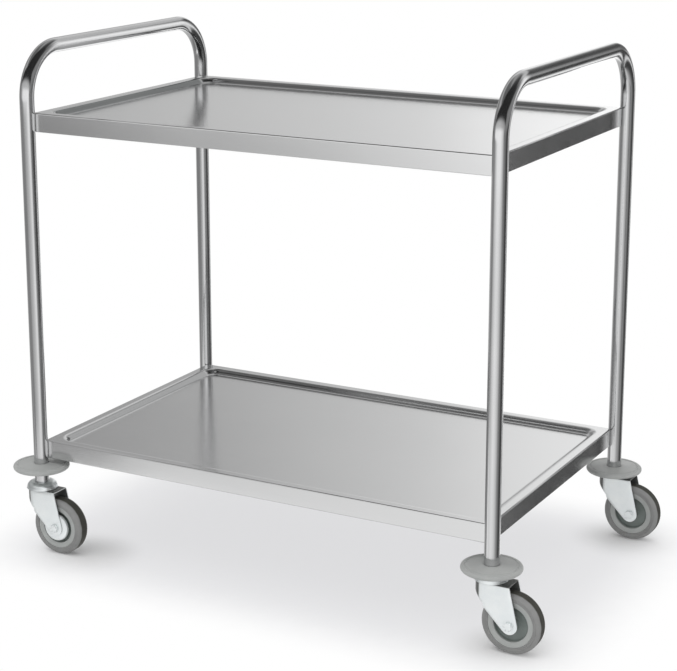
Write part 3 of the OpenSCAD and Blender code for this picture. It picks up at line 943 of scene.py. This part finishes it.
def tyreProfile(node):
    shape = tyreShape
    half = size(node).y / 2
    inner = wheelRadius - shape["depth"]
    soft, shoulder, wide = shape["edge"], shape["shoulder"], shape["grooveHalf"]
    narrow, floor = wide * shape["grooveFloor"], half - wide * shape["grooveDepth"]
    side = [(inner, 0.0), (inner, half - soft), (inner + soft, half)]
    for groove in shape["grooves"]:
        side += [(groove - wide, half), (groove - narrow, floor)]
        side += [(groove + narrow, floor), (groove + wide, half)]
    crown = arc((wheelRadius - shoulder, half - shoulder), shoulder, quarter, 0, shape["shoulderSteps"])
    side += [(radius, y) for radius, y in crown if radius > shape["grooves"][-1] + shape["grooveClear"]]
    return side + [(radius, -y) for radius, y in side[:0:-1]]


hubShape = {
    "rim": 0.009,
    "inset": 0.001,
    "dish": 0.0012,
    "web": 0.004,
    "boss": 0.012,
    "bore": 0.0081,
    "lean": 0.0008,  # of the rim's inner wall
    "rimFlat": 0.002,
    "bossEdge": 0.0008,
    "bossFoot": 0.002,
    "webEnd": 0.003,
    "lipBend": 0.0014,
    "faceBend": 0.002,
    "rimEdge": 0.0004,
    "bendSteps": 6,
    "around": 96,
    "crease": 40,
}


def hubProfile(node):
    shape = hubShape
    outer, bossHalf = size(node).x / 2, size(node).y / 2
    half = size("tyre_front_left").y / 2 - shape["inset"]
    lip = outer - shape["rim"]
    side = [
        (shape["bore"], bossHalf, 0),
        (shape["boss"], bossHalf, shape["bossEdge"]),
        (shape["boss"], shape["web"], shape["bossFoot"]),
        (lip - shape["lean"], shape["web"], shape["webEnd"]),
        (lip, half - shape["dish"], shape["lipBend"]),
        (outer - shape["rimFlat"], half, shape["faceBend"]),
        (outer, half, shape["rimEdge"]),
        (outer, 0, 0),
    ]
    shaped = softened(side, shape["bendSteps"])[:-1]
    return shaped + [(radius, -y) for radius, y in shaped[::-1]]


def atAxle(made, corner):
    sx, sy = corners[corner]
    made.rotation_euler = (quarter, 0, 0)
    made.location = (legX[sx] + trail, sy * legY, wheelRadius)


for corner in corners:
    bm = bmesh.new()
    revolve(bm, tyreProfile("tyre_" + corner), tyreShape["around"])
    made = piece(bm, "tyreRing_" + corner, "grey_tyre_rubber", tyreShape["crease"])
    atAxle(made, corner)
    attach(made, "wheel_" + corner)
    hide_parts("tyre_" + corner)
    bm = bmesh.new()
    revolve(bm, hubProfile("hub_" + corner), hubShape["around"])
    made = piece(bm, "wheelHub_" + corner, "dark_hub_plastic", hubShape["crease"])
    atAxle(made, corner)
    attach(made, "wheel_" + corner)
    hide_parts("hub_" + corner)
print("wheels made")


# axle bolts, nuts and hub covers

boltShape = {
    "flats": 0.013,
    "hexEase": 0.55,  # height of the turned-off corners, as a share of what they stand out over the flats
    "hexEnd": 0.97,  # reach of the end faces, as a share of half the flats
    "hexSteps": 48,
    "head": 0.0053,
    "headOverlap": 0.0004,  # how far the shank goes into the head
    "shank": 0.004,
    "shankSteps": 32,
    "chamfer": 0.0006,
    "pitch": 0.0006,
    "threadDepth": 0.0003,
    "threadTurns": 14,  # those that show past the nut
    "nutGap": 0.00005,
    "crease": 35,
}


def hexBlock(bm, low, high, bore=0.0):  # a hexagon with its corners turned off
    half = boltShape["flats"] / 2
    outer = half / math.cos(math.radians(30))
    ease = (outer - half) * boltShape["hexEase"]
    end = half * boltShape["hexEnd"]
    count = boltShape["hexSteps"]
    loops = []
    for height, reach in ((low, end), (low + ease, outer), (high - ease, outer), (high, end)):
        ring = []
        for i in range(count):
            turn = 2 * math.pi * i / count
            away = turn % math.radians(60) - math.radians(30)
            radius = min(half / math.cos(away), reach)
            ring.append(bm.verts.new((radius * math.cos(turn), radius * math.sin(turn), height)))
        loops.append(ring)
    faces = []
    for height in (high, low):
        if bore:
            faces.append([bm.verts.new((x, y, height)) for x, y in circle((0, 0), bore, count)])
        else:
            faces.append([bm.verts.new((0, 0, height))] * count)
    skin(bm, loops + [faces[0]])
    skin(bm, [loops[0], faces[1]])
    if bore:
        skin(bm, faces)


def boltProfile(headEnd, tail):  # the shank with its thread, from the tail into the head
    shank, ease, pitch = boltShape["shank"], boltShape["chamfer"], boltShape["pitch"]
    profile = [(0, -tail), (shank - ease, -tail), (shank, ease - tail)]
    root = shank - boltShape["threadDepth"]
    for turn in range(boltShape["threadTurns"]):
        z = ease - tail + pitch * turn
        profile += [(shank, z + pitch / 6), (root, z + pitch / 2), (shank, z + pitch * 5 / 6)]
    end = headEnd - boltShape["head"] + boltShape["headOverlap"]
    return profile + [(shank, end), (0, end)]


def makeAxleBolt(corner):
    node = "axle_bolt_" + corner
    low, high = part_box(node)
    y = corners[corner][1] * legY
    headEnd = y - low.y  # towards the front
    tail = high.y - y
    bm = bmesh.new()
    hexBlock(bm, headEnd - boltShape["head"], headEnd)
    revolve(bm, boltProfile(headEnd, tail), boltShape["shankSteps"], False)
    made = piece(bm, "axleBolt_" + corner, "zinc_plated_steel", boltShape["crease"])
    atAxle(made, corner)
    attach(made, "swivel_" + corner)
    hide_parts(node)


def makeAxleNut(corner):
    node = "axle_nut_" + corner
    low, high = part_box(node)
    y = corners[corner][1] * legY
    bm = bmesh.new()
    hexBlock(bm, y - high.y, y - low.y, boltShape["shank"] + boltShape["nutGap"])
    made = piece(bm, "axleNut_" + corner, "zinc_plated_steel", boltShape["crease"])
    atAxle(made, corner)
    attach(made, "swivel_" + corner)
    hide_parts(node)


coverShape = {
    "thickness": 0.001,
    "bore": 0.00605,
    "round": 0.002,
    "edge": 0.0003,
    "depth": 0.0055,
    "bendSteps": 6,
    "around": 72,
    "crease": 40,
}


def makeCovers(corner):
    node = "hub_covers_" + corner
    shape = coverShape
    outer, half = size(node).x / 2, size(node).y / 2
    bore, bend, edge = shape["bore"], shape["round"], shape["edge"]
    inner, under, foot = outer - shape["thickness"], half - shape["thickness"], half - shape["depth"]
    path = [(bore, half, 0), (outer, half, bend), (outer, foot, edge), (inner, foot, edge),
            (inner, under, bend - shape["thickness"]), (bore, under, 0)]
    profile = softened(path, shape["bendSteps"])
    bm = bmesh.new()
    for side in (1, -1):
        revolve(bm, [(radius, side * y) for radius, y in profile], shape["around"])
    made = piece(bm, "hubCovers_" + corner, "zinc_plated_steel", shape["crease"])
    atAxle(made, corner)
    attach(made, "swivel_" + corner)
    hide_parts(node)


for corner in corners:
    makeAxleBolt(corner)
    makeAxleNut(corner)
    if "left" in corner:
        makeCovers(corner)
print("axles made")


# the frame's own parts that stay

keptFinishes = {
    "stiffener": "stainless_sheet",
    "corner_": "zinc_plated_steel",
    "rivet": "zinc_plated_steel",
    "expander": "white_nylon",
    "cone": "zinc_plated_steel",
    "stem": "zinc_plated_steel",
    "kingpins": "zinc_plated_steel",
    "race_balls": "bearing_steel",
    "axle_tube": "zinc_plated_steel",
    "axle_washers": "zinc_plated_steel",
    "hub_bushes": "white_nylon",
}
for name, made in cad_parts.items():
    for words, slot in keptFinishes.items():
        if words in name:
            made.data.materials.clear()
            made.data.materials.append(finishes[slot])
print("frame parts finished")


# floor, world and lamp

studio = {
    "floor": (0.93, 0.93, 0.93, 1),
    "floorHalf": 20,
    "shade": (0.818, 0.818, 0.834, 1),  # painted shadow: soft grey of the floor under the trolley
    "shadeHalf": (0.42, 0.24),
    "shadeFade": (0.02, 0.20),  # beyond that half, where it begins to fade and where it is gone
    "shadeWaver": 0.02,
    "lift": 0.8,  # how far the shadows are lightened there
    "liftNear": 0.06,  # and close to the wheels
    "nearRange": (0.12, 0.03),  # distances from a wheel's foot where the lift begins to fall, and is least
    "fill": 0.82,  # light from all round on what is not shiny
    "lampPower": 38,
    "lampSize": 3.6,
    "lampPlace": (-0.2, -0.3, 3.0),
    "lampAim": (0, 0, 0.3),
    # what shiny metal sees: heights between which a row takes over from the one below it, then its light
    # by degrees from the camera, right is plus
    "reflected": [
        (0, 0, [
            (90, 0.06), (106, 0.08), (111, 0.4), (116, 1.0), (122, 0.75), (126, 0.04), (134.5, 0.04),
            (138, 0.6), (142, 1.05), (150, 1.3), (162, 1.4), (172, 1.2), (180, 0.8), (-170, 0.6),
            (-150, 0.6), (-137, 0.5), (-118, 0.36), (-100, 0.28), (-70, 0.25), (-50, 0.5), (0, 0.8),
            (40, 0.4), (70, 0.12), (89.9, 0.06)]),
        (-0.25, -0.20, [
            (90, 0.06), (106, 0.08), (111, 0.5), (116, 1.2), (121, 1.0), (126, 0.04), (134, 0.04),
            (137, 0.5), (145, 0.8), (160, 0.9), (172, 1.0), (180, 0.8), (-170, 0.6), (-150, 0.6),
            (-137, 0.5), (-118, 0.34), (-100, 0.26), (-70, 0.25), (-50, 0.5), (0, 0.8), (40, 0.4),
            (70, 0.12), (89.9, 0.06)]),
        (-0.06, 0.04, [
            (90, 0.28), (104, 0.28), (109, 0.7), (114, 1.3), (121, 1.2), (126, 0.45), (130, 0.3),
            (134, 0.16), (155, 0.14), (164, 0.6), (170, 1.2), (175, 0.98), (177, 0.78), (180, 0.68),
            (-176, 0.6), (-172, 0.52), (-160, 0.36), (-140, 0.25), (-120, 0.22), (-90, 0.25),
            (-64, 0.35), (-30, 0.6), (20, 0.45), (40, 0.32), (60, 0.28), (89.9, 0.28)]),
        (0.21, 0.26, [
            (90, 0.26), (104, 0.26), (110, 0.7), (116, 1.1), (122, 0.8), (127, 0.25), (133, 0.1),
            (145, 0.08), (152, 0.12), (159, 0.25), (164, 0.6), (170, 1.02), (174, 0.92), (177, 0.7),
            (180, 0.6), (-176, 0.46), (-172, 0.37), (-160, 0.30), (-140, 0.27), (-90, 0.35),
            (-64, 0.45), (-30, 0.4), (5, 0.34), (20, 0.3), (40, 0.26), (89.9, 0.26)]),
        (0.40, 0.50, [
            (90, 0.05), (108, 0.3), (122, 0.72), (140, 0.62), (165, 0.72), (180, 0.8), (-165, 0.6),
            (-140, 0.5), (-90, 0.5), (-72, 0.4), (-55, 0.05), (0, 0.02), (60, 0.02), (89.9, 0.05)]),
        (0.62, 0.75, [
            (90, 0.03), (130, 0.1), (165, 0.4), (180, 0.4), (-168, 0.26), (-150, 0.17), (-88, 0.15),
            (-65, 0.02), (0, 0.02), (89.9, 0.03)]),
    ],
    "card": {  # a tall light card before the trolley, only seen in shiny metal
        "place": -1.0,
        "across": (-2.6, 3.4),
        "up": (-0.6, 2.1),
        "rows": [  # heights as above, then light by x
            (0, 0, [
                (-2.6, 0.3), (-1.3, 0.6), (-1.0, 1.0), (-0.74, 1.15), (-0.5, 1.0), (-0.05, 0.9),
                (0.35, 0.98), (0.7, 0.92), (1.0, 0.8), (1.4, 0.62), (2.0, 0.4), (3.4, 0.12)]),
            (-0.19, -0.15, [
                (-2.6, 0.28), (-1.3, 0.3), (-0.95, 0.3), (-0.86, 0.36), (-0.74, 0.72), (-0.5, 0.78),
                (-0.05, 0.9), (0.35, 1.02), (0.7, 0.95), (1.0, 0.8), (1.4, 0.62), (2.0, 0.4), (3.4, 0.12)]),
            (-0.05, 0.02, [
                (-2.6, 0.28), (-1.3, 0.3), (-0.95, 0.3), (-0.65, 0.5), (-0.35, 0.62), (-0.1, 0.76),
                (0.15, 0.92), (0.4, 1.06), (0.7, 0.98), (1.0, 0.8), (1.4, 0.62), (2.0, 0.4), (3.4, 0.12)]),
            (0.48, 0.62, [
                (-2.6, 0.28), (-1.3, 0.28), (-0.95, 0.3), (-0.65, 0.48), (-0.35, 0.6), (-0.05, 0.85),
                (0.2, 1.12), (0.7, 1.15), (1.1, 0.9), (1.6, 0.55), (2.2, 0.3), (3.4, 0.1)]),
            (0.66, 0.71, [
                (-2.6, 0.3), (-1.3, 0.4), (-1.0, 0.8), (-0.7, 1.1), (0.0, 1.15), (0.6, 1.2), (1.1, 0.9),
                (1.6, 0.5), (2.2, 0.25), (3.4, 0.1)]),
            (0.92, 1.06, [(-2.6, 0.25), (-1.0, 0.6), (0.2, 0.65), (1.0, 0.5), (3.4, 0.25)]),
            (1.12, 1.38, [(-2.6, 0.02), (3.4, 0.02)]),
        ],
    },
}


def layered(f, place, height, rows, share):  # one ramp per row, each over the one below it
    tone = None
    for low, high, row in rows:
        stops = sorted((share(at), value) for at, value in row)
        ramp = f.add("ValToRGB", {"stops": stops}, {0: place})
        tone = f.blend(f.smooth(height, low, high), tone, ramp) if tone else ramp
    return tone


def makeFloor():
    bm = bmesh.new()
    bmesh.ops.create_grid(bm, x_segments=8, y_segments=8, size=studio["floorHalf"])
    floor = inScene("studioFloor", meshOf(bm, "studioFloor"))
    floor.visible_glossy = False
    f = newFinish("studioFloor")
    x, y = f.along("XY")
    wheelX, wheelY = abs(x - trail) - legX[1], abs(y) - legY
    contact = (wheelX * wheelX + wheelY * wheelY).root()
    lift = f.smooth(contact, *studio["nearRange"], studio["lift"], studio["liftNear"])
    halfX, halfY = studio["shadeHalf"]
    beyondX, beyondY = (abs(x) - halfX).most(0), (abs(y) - halfY).most(0)
    waver = studio["shadeWaver"] * f.noise(scale=30, detail=3)
    far = (beyondX * beyondX + beyondY * beyondY).root() + waver
    edge = f.smooth(far, *studio["shadeFade"], lift, 1.0)
    # painted shadow: the floor's own glow is grey under the trolley and fades to white beyond it
    tone = f.blend(f.smooth(far, *studio["shadeFade"]), studio["shade"], (1, 1, 1, 1))
    seen = f.add("LightPath", out="Is Camera Ray")
    shiny = f.add("LightPath", out="Is Glossy Ray")
    through = f.add("LightPath", out="Is Transmission Ray")
    pale = f.add("BsdfDiffuse", {}, {0: studio["floor"]})
    white = f.add("Emission", {}, {0: tone, 1: 1.0})
    both = f.add("MixShader", {}, {0: edge * seen.most(shiny).most(through), 1: pale, 2: white})
    f.add("OutputMaterial", {}, {0: both})
    floor.data.materials.append(f.owner)


def makeWorld():
    world = bpy.data.worlds.new("studioWorld")
    bpy.context.scene.world = world
    f = Finish(world)
    seen = f.add("LightPath", out="Is Camera Ray")
    shiny = f.add("LightPath", out="Is Glossy Ray")
    through = f.add("LightPath", out="Is Transmission Ray")
    turn = math.radians(photoCamera["turn"])
    toward = f.add("TexCoord", out="Generated")
    dot = {"operation": "DOT_PRODUCT"}
    near = f.add("VectorMath", dot, {0: toward, 1: (math.sin(turn), -math.cos(turn), 0)}, "Value")
    left = f.add("VectorMath", dot, {0: toward, 1: (-math.cos(turn), -math.sin(turn), 0)}, "Value")
    height = f.add("SeparateXYZ", {}, {0: toward}, "Z")
    place = near.maths("ARCTAN2", near, left) / (2 * math.pi) + 0.5
    cards = layered(f, place, height, studio["reflected"], lambda degrees: (degrees - 90) % 360 / 360)
    plain = f.add("Background", {}, {0: (1, 1, 1, 1), 1: studio["fill"]})
    reflected = f.add("Background", {}, {0: cards, 1: 1.0})
    white = f.add("Background", {}, {0: (1, 1, 1, 1), 1: 1.0})
    both = f.add("MixShader", {}, {0: shiny, 1: plain, 2: reflected})
    both = f.add("MixShader", {}, {0: seen.most(through), 1: both, 2: white})
    f.add("OutputWorld", {}, {0: both})


def makeCard():
    look = studio["card"]
    left, right = look["across"]
    foot, head = look["up"]
    bm = bmesh.new()
    outline = ((left, foot), (right, foot), (right, head), (left, head))
    bm.faces.new([bm.verts.new((x, look["place"], z)) for x, z in outline])
    card = inScene("lightCard", meshOf(bm, "lightCard"))
    card.visible_camera = False
    card.visible_diffuse = False
    card.visible_transmission = False
    card.visible_volume_scatter = False
    card.visible_shadow = False
    f = newFinish("lightCard")
    x, height = f.along("XZ")
    across = (x - left) / (right - left)
    tone = layered(f, across, height, look["rows"], lambda at: (at - left) / (right - left))
    f.add("OutputMaterial", {}, {0: f.add("Emission", {}, {0: tone, 1: 1.0})})
    card.data.materials.append(f.owner)


def makeLamp():
    data = bpy.data.lights.new("softLamp", "AREA")
    data.size = studio["lampSize"]
    data.energy = studio["lampPower"]
    lamp = inScene("softLamp", data)
    lamp.location = studio["lampPlace"]
    lamp.visible_glossy = False
    aim = Vector(studio["lampAim"]) - Vector(studio["lampPlace"])
    lamp.rotation_euler = aim.to_track_quat("-Z", "Y").to_euler()


makeFloor()
makeWorld()
makeCard()
makeLamp()
bpy.context.scene.view_settings.view_transform = "Standard"
print("studio lit")

bpy.context.view_layer.update()
